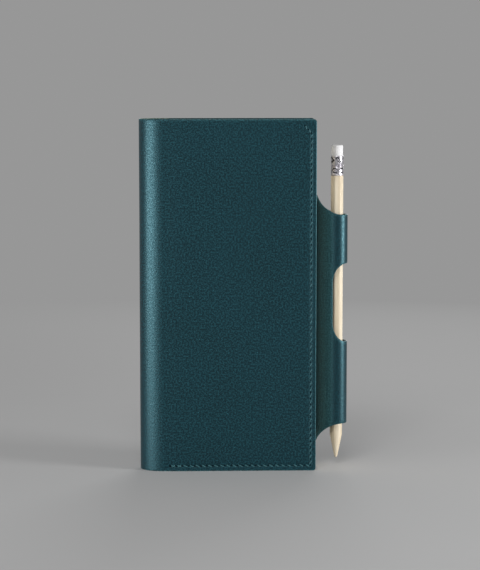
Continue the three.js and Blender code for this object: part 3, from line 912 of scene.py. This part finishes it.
KRAFT_DARK, KRAFT = (0.33, 0.21, 0.115, 1), (0.42, 0.29, 0.17, 1)
KRAFT_FIBRE = (0.20, 0.115, 0.06, 1)
CLOTH_GAPS, CLOTH_THREADS = (0.47, 0.44, 0.38, 1), (0.72, 0.69, 0.62, 1)
CARD_EDGE_ROUND = 0.08 * MM

kraft, tree, shader = finish("kraft_card", 0.88, 0.2)
place = by_place(tree)
long_way = put(tree, "ShaderNodeMapping", Vector=place, Scale=(1.0, 1.0, 0.35)).outputs[0]
fibre = speckle(tree, long_way, 1300.0, 6.0)
patch = speckle(tree, place, 60.0, 3.0)
brown = tint(tree, spread(tree, patch, 0.3, 0.7), KRAFT_DARK, KRAFT)
flecks = spread(tree, fibre, 0.5, 0.75, 0.0, 0.8)
wire(tree, shader, Base_Color=tint(tree, flecks, brown, KRAFT_FIBRE))
raised(tree, shader, fibre, 0.06 * MM, 0.5)

cloth, tree, shader = finish("lining_cloth", 0.92, 0.15)
place = by_cut(tree)
warp, weft = (
    put(tree, "ShaderNodeTexWave", {"bands_direction": way}, Vector=place, Scale=400.0,
        Distortion=0.4).outputs["Fac"] for way in ("X", "Y"))
weave = maths(tree, "MULTIPLY", warp, weft)
wire(tree, shader, Base_Color=tint(tree, weave, CLOTH_GAPS, CLOTH_THREADS))
raised(tree, shader, weave, 0.1 * MM, 0.8)


def flat_piece(name, node, side, material, body, step=12 * MM):
    """A flat sheet in a node's place, that stands across Y, with its face to that side."""
    low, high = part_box(node)
    face = high.y if side > 0 else low.y
    places = spaced([high.x, low.x] if side > 0 else [low.x, high.x], step)
    made = cut_sheet(name, [(x, face) for x in places], lambda x: spaced([low.z, high.z], step),
                     high.y - low.y, round_over=CARD_EDGE_ROUND, finishes=(material,))
    belongs(made, body, node)


flat_piece("front_card", "refill_front_card", -1, kraft, "front_pages")
flat_piece("back_card", "refill_back_card", 1, kraft, "back")
flat_piece("hinge_strip", "refill_hinge_strip", -1, cloth, "back", 3 * MM)
for half, body in (("front", "front_pages"), ("back", "back")):
    low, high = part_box(f"spine_lining_{half}")
    line = [(low.x, y) for y in spaced([high.y, low.y], 2 * MM)]
    lining = cut_sheet(f"fold_lining_{half}", line, lambda x: spaced([low.z, high.z], 12 * MM),
                       high.x - low.x, round_over=CARD_EDGE_ROUND, finishes=(cloth,))
    belongs(lining, body, f"spine_lining_{half}")

# ---------------------------------------------------------------- pencil
# A plain limewood pencil of six rounded sides, sharpened so that its cone meets the flats in
# scallops. A rolled ferrule with two rows of dark scrolls grips it and a white eraser.

PENCIL_ROUND = 1.5 * MM
TIP_RADIUS = 0.75 * MM
CONE_LENGTH = 14.2 * MM
LEAD_RADIUS = 1.0 * MM
HALF_SIDE = math.pi / 6  # half the turn from one side of the pencil to the next
TURNED_CREASE = math.radians(50)  # sharper edges than these aren't shaded smooth
PLANED_CREASE = math.radians(22)
WOOD_TONED, WOOD_PALE = (0.70, 0.59, 0.42, 1), (0.82, 0.73, 0.57, 1)
WOOD_GRAIN = (0.52, 0.39, 0.24, 1)
barrel_low, barrel_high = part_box("pencil_barrel")
lead_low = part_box("pencil_lead")[0]
ferrule_low, ferrule_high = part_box("ferrule")
eraser_low, eraser_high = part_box("eraser")
pencil_x = (barrel_low.x + barrel_high.x) / 2
pencil_y = (barrel_low.y + barrel_high.y) / 2
across_flats = barrel_high.y - barrel_low.y
corner_radius = (barrel_high.x - barrel_low.x) / 2
cone_rate = (corner_radius - TIP_RADIUS) / CONE_LENGTH
wood_low = lead_low.z + (LEAD_RADIUS - TIP_RADIUS) / cone_rate

wood, tree, shader = finish("limewood", 0.5, 0.35)
place = by_place(tree)
long_grain = put(tree, "ShaderNodeMapping", Vector=place, Scale=(1.0, 1.0, 0.045)).outputs[0]
figure = speckle(tree, long_grain, 1100.0, 5.0)
band = speckle(tree, long_grain, 260.0)
pale = tint(tree, spread(tree, band, 0.35, 0.65), WOOD_TONED, WOOD_PALE)
streaks = spread(tree, figure, 0.45, 0.75, 0.0, 0.35)
wire(tree, shader, Base_Color=tint(tree, streaks, pale, WOOD_GRAIN),
     Roughness=spread(tree, figure, 0.3, 0.7, 0.45, 0.62))
raised(tree, shader, figure, 0.04 * MM, 0.5)


def turned(name, profile, finishes, segments):
    """A piece turned about the pencil's axis.

    A ring is drawn up through a profile of radius and height."""
    nothing_selected()
    radius, height = profile[0]
    bpy.ops.mesh.primitive_circle_add(vertices=segments, radius=radius, fill_type="NGON",
                                      location=(pencil_x, pencil_y, height))
    made = bpy.context.object
    made.name = made.data.name = name
    bpy.ops.object.transform_apply(location=True, rotation=True, scale=True)
    bpy.ops.object.mode_set(mode="EDIT")
    bpy.ops.mesh.select_all(action="SELECT")
    for next_radius, next_height in profile[1:]:
        up = (0, 0, next_height - height)
        bpy.ops.mesh.extrude_region_move(TRANSFORM_OT_translate={"value": up})
        share = next_radius / radius
        bpy.ops.transform.resize(value=(share, share, 1),
                                 center_override=(pencil_x, pencil_y, next_height))
        radius, height = next_radius, next_height
    bpy.ops.mesh.select_all(action="SELECT")
    bpy.ops.mesh.normals_make_consistent(inside=False)
    bpy.ops.object.mode_set(mode="OBJECT")
    for material in finishes:
        made.data.materials.append(material)
    bpy.ops.object.shade_smooth_by_angle(angle=TURNED_CREASE)
    return made


def six_sided_blank():
    """The planed hexagonal stick, with its six long edges rounded."""
    nothing_selected()
    length = barrel_high.z - wood_low
    bpy.ops.mesh.primitive_cylinder_add(
        vertices=6, radius=across_flats / 2 / math.cos(HALF_SIDE), depth=length,
        location=(pencil_x, pencil_y, wood_low + length / 2), rotation=(0, 0, HALF_SIDE))
    stick = bpy.context.object
    bpy.ops.object.transform_apply(location=True, rotation=True, scale=True)
    bpy.ops.object.mode_set(mode="EDIT")
    bpy.ops.mesh.select_all(action="DESELECT")
    bpy.ops.object.mode_set(mode="OBJECT")
    corners = stick.data.vertices
    for edge in stick.data.edges:
        one, other = (corners[v].co for v in edge.vertices)
        edge.select = abs(one.z - other.z) > length / 2
    bpy.ops.object.mode_set(mode="EDIT")
    bpy.ops.mesh.select_mode(type="EDGE")
    bpy.ops.mesh.bevel(offset=PENCIL_ROUND * math.tan(HALF_SIDE), segments=6, affect="EDGES")
    bpy.ops.object.mode_set(mode="OBJECT")
    return stick


SHARPENER_RADIUS = 5 * MM  # wider than the pencil
SHARPENER_TOP = 200 * MM  # past the barrel's upper end
SHARPENER_SIDES = 96
barrel = six_sided_blank()
barrel.name = barrel.data.name = "barrel_wood"
cone_top = wood_low + (SHARPENER_RADIUS - LEAD_RADIUS) / cone_rate
sharpener = turned("sharpener", [
    (LEAD_RADIUS, wood_low), (SHARPENER_RADIUS, cone_top), (SHARPENER_RADIUS, SHARPENER_TOP),
], (), SHARPENER_SIDES)
nothing_selected()
bpy.context.view_layer.objects.active = barrel
barrel.select_set(True)
sharpened = barrel.modifiers.new("sharpened", "BOOLEAN")
sharpened.operation, sharpened.solver, sharpened.object = "INTERSECT", "EXACT", sharpener
bpy.ops.object.modifier_apply(modifier=sharpened.name)
bpy.data.objects.remove(sharpener)
barrel.data.materials.clear()
barrel.data.materials.append(wood)
bpy.ops.object.shade_smooth_by_angle(angle=PLANED_CREASE)

LEAD_DARK, LEAD_PALE = (0.60, 0.52, 0.38, 1), (0.74, 0.67, 0.52, 1)
lead_finish, tree, shader = finish("pale_lead", 0.6, 0.3)
chalk = speckle(tree, by_place(tree), 2600.0, 3.0)
wire(tree, shader, Base_Color=tint(tree, chalk, LEAD_DARK, LEAD_PALE))
raised(tree, shader, chalk, 0.03 * MM, 0.6)
lead = turned("lead_point", [
    (0.30 * MM, lead_low.z), (0.55 * MM, lead_low.z + 0.06 * MM),
    (TIP_RADIUS, lead_low.z + 0.28 * MM), (LEAD_RADIUS, wood_low),
    (LEAD_RADIUS, lead_low.z + CONE_LENGTH)], (lead_finish,), 40)

METAL = (0.62, 0.60, 0.64, 1)
INK = (0.010, 0.010, 0.014, 1)
MOTIFS = 5
ROWS = ((0.23, 0.21), (0.76, 0.21))  # each row's middle and half height, as shares of the ferrule
ROW_TURN = 0.13  # how far round the first row starts, in motif widths
SCROLL_SIZE = 0.26  # in motif widths
SCROLL_TURN = 0.055  # how fast a scroll winds out, in motif widths per radian
SCROLL_BEND = 0.8
SCROLL_INK = (0.11, 0.06)  # how far from a scroll's line the ink ends, and where it is full
ferrule_length = ferrule_high.z - ferrule_low.z
ferrule_finish, tree, shader = finish("rolled_ferrule", 0.3, Metallic=1.0)
place = by_place(tree)
axis = put(tree, "ShaderNodeMapping", {"vector_type": "POINT"}, Vector=place,
           Location=(-pencil_x, -pencil_y, -ferrule_low.z)).outputs[0]
split = put(tree, "ShaderNodeSeparateXYZ", Vector=axis)
around = maths(tree, "ARCTAN2", split.outputs[1], split.outputs[0])
up = maths(tree, "DIVIDE", split.outputs[2], ferrule_length)
scrolls = None
for number, (middle, half) in enumerate(ROWS):
    turns = maths(tree, "MULTIPLY_ADD", around, MOTIFS / (2 * math.pi), 0.5 * number + ROW_TURN)
    across = maths(tree, "SUBTRACT", maths(tree, "FRACT", turns), 0.5)
    height = maths(tree, "DIVIDE", maths(tree, "SUBTRACT", up, middle), 2 * half)
    crook = speckle(tree, axis, 330.0, 1.0)
    added = maths(tree, "MULTIPLY_ADD", crook, SCROLL_BEND, -SCROLL_BEND / 2)
    aside = maths(tree, "ADD", across, added)
    squares = [maths(tree, "MULTIPLY", side, side) for side in (aside, height)]
    ring = maths(tree, "SQRT", maths(tree, "ADD", *squares))
    angle = maths(tree, "ARCTAN2", height, aside)
    winding = maths(tree, "MULTIPLY_ADD", angle, SCROLL_TURN, SCROLL_SIZE)
    off_line = maths(tree, "ABSOLUTE", maths(tree, "SUBTRACT", ring, winding))
    mark = spread(tree, off_line, *SCROLL_INK)
    within = spread(tree, maths(tree, "ABSOLUTE", height), 0.5, 0.45)
    row = maths(tree, "MULTIPLY", mark, within)
    scrolls = row if scrolls is None else maths(tree, "MAXIMUM", scrolls, row)
scratch = speckle(tree, axis, 1500.0, 3.0)
wire(tree, shader, Base_Color=tint(tree, scrolls, METAL, INK),
     Metallic=spread(tree, scrolls, 0.0, 1.0, 1.0, 0.0),
     Roughness=spread(tree, scratch, 0.3, 0.7, 0.26, 0.42))
pressed = maths(tree, "SUBTRACT", maths(tree, "MULTIPLY", scratch, 0.2), scrolls)
raised(tree, shader, pressed, 0.1 * MM)

BAND = 3.75 * MM  # the ferrule's radius between its beads
GROOVES = (0.455, 0.485, 0.515)
rolled = [  # radius, and height as a share of the ferrule
    (BAND - 0.25 * MM, 0.0), (BAND + 0.08 * MM, 0.02), (BAND + 0.15 * MM, 0.045),
    (BAND + 0.08 * MM, 0.07), (BAND - 0.02 * MM, 0.09), (BAND, 0.12), (BAND, 0.44)]
for groove in GROOVES:
    rolled += [(BAND - 0.12 * MM, groove), (BAND + 0.10 * MM, groove + 0.015)]
rolled += [
    (BAND - 0.12 * MM, 0.545), (BAND, 0.56), (BAND, 0.90), (BAND - 0.02 * MM, 0.92),
    (BAND + 0.10 * MM, 0.945), (BAND + 0.15 * MM, 0.965), (BAND + 0.06 * MM, 0.99),
    (BAND - 0.10 * MM, 1.0), (BAND - 0.32 * MM, 0.995)]
profile = [(radius, ferrule_low.z + share * ferrule_length) for radius, share in rolled]
ferrule = turned("rolled_ferrule_band", profile, (ferrule_finish,), 72)

RUBBER_ROUND = 0.8 * MM
RUBBER_SUNK = 1.2 * MM  # how far the eraser goes down into the ferrule
RUBBER_DARK, RUBBER_PALE = (0.72, 0.71, 0.71, 1), (0.86, 0.86, 0.87, 1)
rubber, tree, shader = finish("white_eraser", 0.8, 0.25)
dust = speckle(tree, by_place(tree), 1400.0, 4.0)
wire(tree, shader, Base_Color=tint(tree, dust, RUBBER_DARK, RUBBER_PALE))
raised(tree, shader, dust, 0.05 * MM, 0.5)
eraser_radius = (eraser_high.x - eraser_low.x) / 2
rounding = [(eraser_radius - RUBBER_ROUND * (1 - math.cos(t)),
             eraser_high.z - RUBBER_ROUND * (1 - math.sin(t)))
            for t in (math.radians(v) for v in (0, 20, 40, 60, 75, 90))]
eraser = turned("eraser_rubber", [
    (eraser_radius, ferrule_high.z - RUBBER_SUNK), *rounding,
    (0.2 * MM, eraser_high.z + 0.01 * MM)], (rubber,), 56)

belongs(barrel, "pencil", "pencil_barrel")
belongs(lead, "pencil", "pencil_lead")
belongs(ferrule, "pencil", "ferrule")
belongs(eraser, "pencil", "eraser")

# ---------------------------------------------------------------- floor, light and camera
# A plain floor that melts into a plain background. A low soft box on the left lights the spine's
# round and one on the right lights the pencil and its wing, so that the flat front stays deep. A
# third stands high in front, and a fourth behind for the back cover.

WORLD_LEVEL = 0.2
BACKGROUND_LEVEL = 0.31
FLOOR_SIZE = 40  # metres
FLOOR_FADE = (0.25, 0.85)  # metres out, over which the floor melts into the background
FLOOR_DARK, FLOOR_PALE = (0.56, 0.56, 0.56, 1), (0.58, 0.58, 0.58, 1)
WHITE = (1, 1, 1, 1)


def seen_rays(tree):
    """1 for rays that see the background, in a view, gloss or glass, and 0 for the others."""
    rays = put(tree, "ShaderNodeLightPath").outputs
    shown = maths(tree, "MAXIMUM", rays["Is Glossy Ray"], rays["Is Transmission Ray"])
    return maths(tree, "ADD", rays["Is Camera Ray"], shown)


nothing_selected()
bpy.ops.mesh.primitive_plane_add(size=FLOOR_SIZE, location=(0, 0, 0))
floor = bpy.context.object
floor.name = "studio_floor"
floor_finish, tree, shader = finish("plain_floor", 0.9, 0.1)
place = by_place(tree)
mottle = speckle(tree, place, 3.0)
wire(tree, shader, Base_Color=tint(tree, mottle, FLOOR_DARK, FLOOR_PALE))
outward = put(tree, "ShaderNodeVectorMath", {"operation": "LENGTH"}, at0=place).outputs["Value"]
far = spread(tree, outward, *FLOOR_FADE)
glow = put(tree, "ShaderNodeEmission", Color=WHITE, Strength=BACKGROUND_LEVEL).outputs[0]
melted = put(tree, "ShaderNodeMixShader", at0=maths(tree, "MULTIPLY", far, seen_rays(tree)),
             at1=shader.outputs[0], at2=glow).outputs[0]
tree.links.new(melted, tree.nodes["Material Output"].inputs["Surface"])
floor.data.materials.append(floor_finish)

LIT_POINT = Vector((0, 0, 0.1))
SOFT_BOXES = (  # name, place and size in metres, and power in watts
    ("left_soft_box", (-0.93, -0.66, 0.06), (0.8, 0.2), 11.5),
    ("right_soft_box", (1.0, -0.42, 0.16), (0.3, 0.3), 10.0),
    ("high_front_soft_box", (-0.22, -1.0, 1.1), (0.6, 0.6), 5.0),
    ("back_soft_box", (0.35, 1.3, 0.5), (0.8, 0.6), 6.0),
)
for name, place, size, power in SOFT_BOXES:
    light = bpy.data.lights.new(name, "AREA")
    light.shape = "RECTANGLE"
    light.size, light.size_y = size
    light.energy = power
    lamp = bpy.data.objects.new(name, light)
    bpy.context.scene.collection.objects.link(lamp)
    lamp.location = place
    lamp.rotation_euler = (LIT_POINT - Vector(place)).to_track_quat("-Z", "Y").to_euler()

world = bpy.data.worlds.new("studio")
bpy.context.scene.world = world
world.use_nodes = True
tree = world.node_tree
level = spread(tree, seen_rays(tree), 0.0, 1.0, WORLD_LEVEL, BACKGROUND_LEVEL)
tree.links.new(level, tree.nodes["Background"].inputs["Strength"])
tree.nodes["Background"].inputs["Color"].default_value = WHITE

CAMERA_PLACE = (-41.9 * MM, -1230 * MM, 249.6 * MM)
CAMERA_PITCH = math.radians(6.44)
CAMERA_YAW = math.radians(1.84)
CAMERA_LENS = 130.7
camera_data = bpy.data.cameras.new("camera")
camera_data.lens = CAMERA_LENS
camera_data.sensor_width = 36
camera = bpy.data.objects.new("camera", camera_data)
bpy.context.scene.collection.objects.link(camera)
camera.location = CAMERA_PLACE
camera.rotation_euler = (math.pi / 2 - CAMERA_PITCH, 0, -CAMERA_YAW)
bpy.context.scene.camera = camera
bpy.context.scene.view_settings.view_transform = "Standard"
